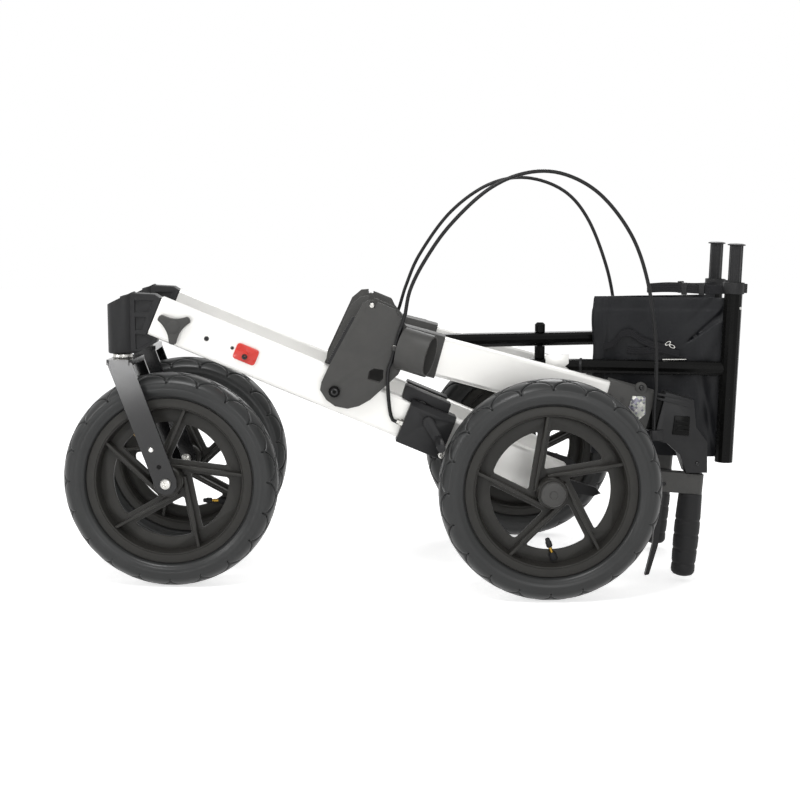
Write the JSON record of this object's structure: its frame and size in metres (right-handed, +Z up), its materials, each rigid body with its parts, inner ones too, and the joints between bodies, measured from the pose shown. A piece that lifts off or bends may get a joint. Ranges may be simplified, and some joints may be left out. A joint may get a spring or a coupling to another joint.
{
  "type": "rollator",
  "caption": "Folded outdoor rollator with large air tyres, swivelling front forks, folding uprights, telescopic handles, tyre brakes and a scissor-folding sling seat.",
  "frame": {"origin": "on the floor, under the middle of the folded rollator's bounding box", "axes": "-X to the front wheels, +X to the handles, -Y to the user's left side, +Z up"},
  "size_m": [1.015, 0.504, 0.6111],
  "materials": {
    "satin_aluminium": "satin anodised",
    "grey_polymer": "moulded, fine texture",
    "black_polymer": "moulded, fine texture",
    "gloss_black_steel": "gloss powder coat",
    "matt_black_steel": "satin powder coat",
    "bright_steel": "zinc plated",
    "tyre_rubber": "moulded tread",
    "grip_rubber": "ribbed",
    "rim_polymer": "moulded, matt",
    "red_polymer": "moulded",
    "black_fabric": "coated nylon weave",
    "cable_jacket": "smooth jacket"
  },
  "bodies": {
    "chassis_left": {"chassis_beam_left": "satin_aluminium", "steering_head_left": "black_polymer", "pivot_bolt_left": "matt_black_steel", "brake_mount_left": "black_polymer", "rear_axle_left": "bright_steel", "kerb_lever_left": "black_polymer", "cable_lower_left": "cable_jacket"},
    "fork_left": {"fork_left": "gloss_black_steel", "front_axle_left": "bright_steel"},
    "front_wheel_left": {"front_rim_left": "rim_polymer", "front_tyre_left": "tyre_rubber"},
    "rear_wheel_left": {"rear_rim_left": "rim_polymer", "rear_tyre_left": "tyre_rubber"},
    "knob_left": {"star_knob_left": "black_polymer"},
    "catch_left": {"stop_catch_left": "red_polymer"},
    "brake_arm_left": {"brake_arm_left": "grey_polymer"},
    "upright_left": {"knuckle_left": "grey_polymer", "upright_beam_left": "satin_aluminium", "end_bracket_left": "grey_polymer", "cable_upper_left": "cable_jacket"},
    "handle_left": {"handle_stem_left": "matt_black_steel", "handle_casting_left": "black_polymer", "handle_bar_left": "matt_black_steel", "brake_clamp_left": "grey_polymer", "grip_left": "grip_rubber"},
    "lever_left": {"brake_lever_left": "black_polymer"},
    "chassis_right": {"chassis_beam_right": "satin_aluminium", "steering_head_right": "black_polymer", "pivot_bolt_right": "matt_black_steel", "brake_mount_right": "black_polymer", "rear_axle_right": "bright_steel", "kerb_lever_right": "black_polymer", "cable_lower_right": "cable_jacket"},
    "fork_right": {"fork_right": "gloss_black_steel", "front_axle_right": "bright_steel"},
    "front_wheel_right": {"front_rim_right": "rim_polymer", "front_tyre_right": "tyre_rubber"},
    "rear_wheel_right": {"rear_rim_right": "rim_polymer", "rear_tyre_right": "tyre_rubber"},
    "knob_right": {"star_knob_right": "black_polymer"},
    "catch_right": {"stop_catch_right": "red_polymer"},
    "brake_arm_right": {"brake_arm_right": "grey_polymer"},
    "upright_right": {"knuckle_right": "grey_polymer", "upright_beam_right": "satin_aluminium", "end_bracket_right": "grey_polymer", "cable_upper_right": "cable_jacket"},
    "handle_right": {"handle_stem_right": "matt_black_steel", "handle_casting_right": "black_polymer", "handle_bar_right": "matt_black_steel", "brake_clamp_right": "grey_polymer", "grip_right": "grip_rubber"},
    "lever_right": {"brake_lever_right": "black_polymer"},
    "seat_arm_left": {"seat_frame_left": "matt_black_steel", "rail_plug_left": "black_polymer", "centre_bolt": "matt_black_steel", "seat_sling": "black_fabric", "seat_strap": "black_fabric"},
    "seat_arm_right": {"seat_frame_right": "matt_black_steel", "rail_plug_right": "black_polymer"}
  },
  "joints": [
    {"name": "width_slide", "type": "slide", "parent": "chassis_left", "child": "chassis_right", "axis": [0, 1, 0], "range_m": [0, 0.24]},
    {"name": "fold_left", "type": "hinge", "parent": "chassis_left", "child": "upright_left", "pos_m": [-0.10704, -0.11, 0.29122], "axis": [0, -1, 0], "range_deg": [0, 84], "deforming": ["cable_lower_left"]},
    {"name": "fold_right", "type": "hinge", "parent": "chassis_right", "child": "upright_right", "pos_m": [-0.10704, 0.11, 0.29122], "axis": [0, -1, 0], "range_deg": [0, 84], "deforming": ["cable_lower_right"]},
    {"name": "brace_lower", "type": "hinge", "parent": "upright_right", "child": "seat_arm_left", "pos_m": [-0.0724, 0.06, 0.3145], "axis": [0, 0, 1], "range_deg": [-28, 0]},
    {"name": "brace_cross", "type": "hinge", "parent": "seat_arm_left", "child": "seat_arm_right", "pos_m": [0.208, 0, 0.3555], "axis": [0, 0, 1], "range_deg": [0, 56], "deforming": ["seat_sling", "seat_strap"]},
    {"name": "steer_left", "type": "hinge", "parent": "chassis_left", "child": "fork_left", "pos_m": [-0.4166, -0.11, 0.3455], "axis": [0, 0, 1], "range_deg": [-82, 48]},
    {"name": "front_wheel_spin_left", "type": "hinge", "parent": "fork_left", "child": "front_wheel_left", "pos_m": [-0.34847, -0.11476, 0.159], "axis": [0.0698, 0.9976, 0], "continuous": true},
    {"name": "rear_wheel_spin_left", "type": "hinge", "parent": "chassis_left", "child": "rear_wheel_left", "pos_m": [0.1999, -0.215, 0.159], "axis": [0, 1, 0], "continuous": true},
    {"name": "handle_slide_left", "type": "slide", "parent": "upright_left", "child": "handle_left", "axis": [0.9655, 0, -0.2605], "range_m": [0, 0.15], "deforming": ["cable_upper_left"]},
    {"name": "lever_pull_left", "type": "hinge", "parent": "handle_left", "child": "lever_left", "pos_m": [0.38122, -0.11, 0.14941], "axis": [0, -1, 0], "range_deg": [0, 12], "stiffness_Nm_per_rad": 1.5, "springref_deg": -3.44},
    {"name": "brake_press_left", "type": "hinge", "parent": "chassis_left", "child": "brake_arm_left", "pos_m": [0.02944, -0.11, 0.24687], "axis": [0, -1, 0], "range_deg": [0, 6.5]},
    {"name": "knob_turn_left", "type": "hinge", "parent": "chassis_left", "child": "knob_left", "pos_m": [-0.33866, -0.11, 0.38533], "axis": [0, 1, 0], "continuous": true},
    {"name": "catch_tilt_left", "type": "hinge", "parent": "chassis_left", "child": "catch_left", "pos_m": [-0.23517, -0.11, 0.34508], "axis": [0, -1, 0], "range_deg": [0, 12], "stiffness_Nm_per_rad": 0.4, "springref_deg": -5.73},
    {"name": "steer_right", "type": "hinge", "parent": "chassis_right", "child": "fork_right", "pos_m": [-0.4166, 0.11, 0.3455], "axis": [0, 0, 1], "range_deg": [-40, 90]},
    {"name": "front_wheel_spin_right", "type": "hinge", "parent": "fork_right", "child": "front_wheel_right", "pos_m": [-0.3483, 0.11, 0.159], "axis": [0, 1, 0], "continuous": true},
    {"name": "rear_wheel_spin_right", "type": "hinge", "parent": "chassis_right", "child": "rear_wheel_right", "pos_m": [0.1999, 0.215, 0.159], "axis": [0, 1, 0], "continuous": true},
    {"name": "handle_slide_right", "type": "slide", "parent": "upright_right", "child": "handle_right", "axis": [0.9655, 0, -0.2605], "range_m": [0, 0.15], "deforming": ["cable_upper_right"]},
    {"name": "lever_pull_right", "type": "hinge", "parent": "handle_right", "child": "lever_right", "pos_m": [0.38122, 0.11, 0.14941], "axis": [0, -1, 0], "range_deg": [0, 12], "stiffness_Nm_per_rad": 1.5, "springref_deg": -3.44},
    {"name": "brake_press_right", "type": "hinge", "parent": "chassis_right", "child": "brake_arm_right", "pos_m": [0.02944, 0.11, 0.24687], "axis": [0, -1, 0], "range_deg": [0, 6.5]},
    {"name": "knob_turn_right", "type": "hinge", "parent": "chassis_right", "child": "knob_right", "pos_m": [-0.33866, 0.11, 0.38533], "axis": [0, 1, 0], "continuous": true},
    {"name": "catch_tilt_right", "type": "hinge", "parent": "chassis_right", "child": "catch_right", "pos_m": [-0.23517, 0.11, 0.34508], "axis": [0, -1, 0], "range_deg": [0, 12], "stiffness_Nm_per_rad": 0.4, "springref_deg": -5.73}
  ],
  "couplings": [
    {"joint": "fold_right", "follows": "fold_left", "ratio": 1},
    {"joint": "brace_lower", "follows": "width_slide", "rad_per_m": -1.9493},
    {"joint": "brace_cross", "follows": "width_slide", "rad_per_m": 3.8986},
    {"joint": "brake_press_left", "follows": "lever_pull_left", "ratio": 0.5},
    {"joint": "brake_press_right", "follows": "lever_pull_right", "ratio": 0.5}
  ]
}
